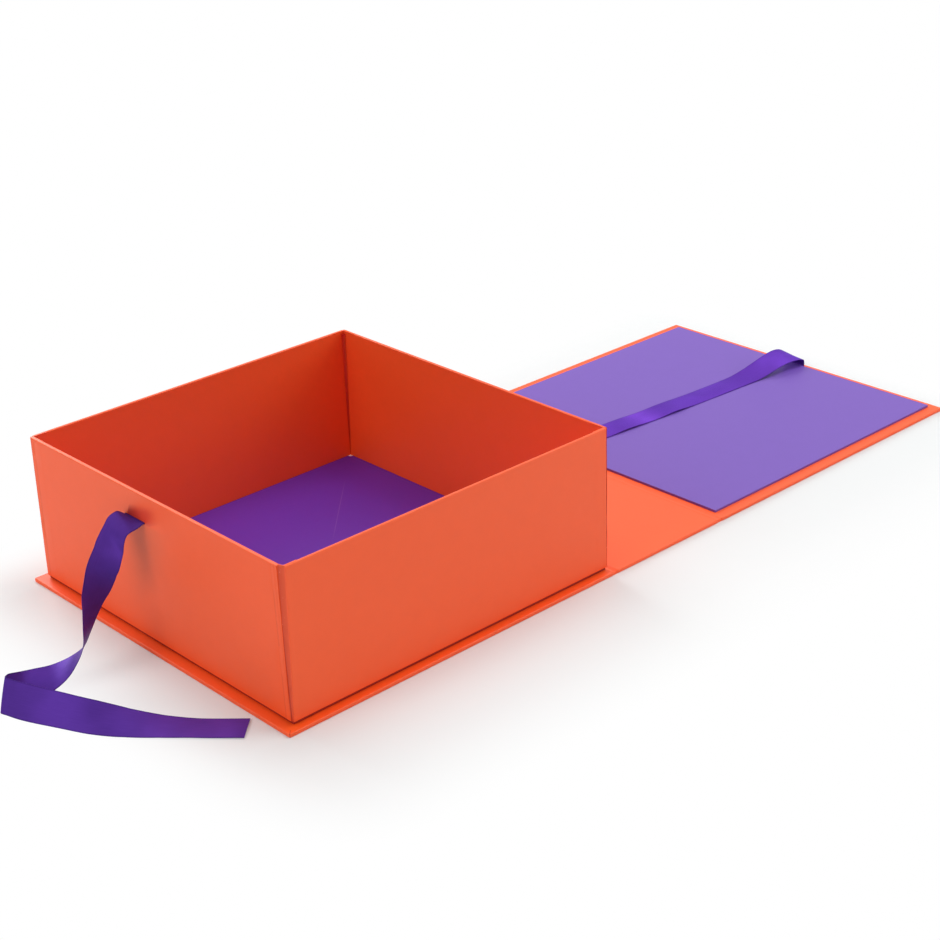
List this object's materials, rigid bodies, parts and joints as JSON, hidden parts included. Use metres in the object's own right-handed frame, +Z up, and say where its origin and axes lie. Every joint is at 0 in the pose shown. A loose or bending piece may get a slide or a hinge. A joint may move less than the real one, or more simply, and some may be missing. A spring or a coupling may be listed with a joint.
{
  "type": "folding gift box with ribbon ties",
  "caption": "Open book-style gift box of wrapped board: square tray on a base panel, folding spine and lid with a liner panel, satin ribbon ties and hidden magnets.",
  "frame": {"origin": "on the underside of the base panel, under the middle of the tray", "axes": "+X to the right seen from the front, +Y from the front wall with the ribbon slot to the lid, +Z up"},
  "size_m": [0.229, 0.6305, 0.0881],
  "materials": {
    "cover_board": "matte printed wrap paper",
    "wall_board": "matte printed wrap paper",
    "lining_paper": "matte",
    "corner_paper": "matte, creased",
    "floor_card": "smooth coated",
    "liner_card": "smooth coated",
    "magnet_metal": "plated",
    "satin_ribbon": "satin"
  },
  "bodies": {
    "tray": {"base_panel": "cover_board", "tray_bottom": "wall_board", "tray_floor": "floor_card", "front_wall": "wall_board", "front_wall_lining": "lining_paper", "back_wall": "wall_board", "left_wall": "wall_board", "right_wall": "wall_board", "front_left_corner": "corner_paper", "front_right_corner": "corner_paper", "back_left_corner": "corner_paper", "back_right_corner": "corner_paper", "front_wall_magnets": "magnet_metal", "front_ribbon": "satin_ribbon"},
    "spine": {"spine_panel": "cover_board"},
    "lid": {"lid_panel": "cover_board", "lid_liner": "liner_card", "lid_magnets": "magnet_metal", "lid_ribbon": "satin_ribbon"}
  },
  "joints": [
    {"name": "spine_fold", "type": "hinge", "parent": "tray", "child": "spine", "pos_m": [0, 0.1129, 0.0009], "axis": [1, 0, 0], "range_deg": [0, 90]},
    {"name": "lid_fold", "type": "hinge", "parent": "spine", "child": "lid", "pos_m": [0, 0.2019, 0.0009], "axis": [1, 0, 0], "range_deg": [0, 90]}
  ]
}
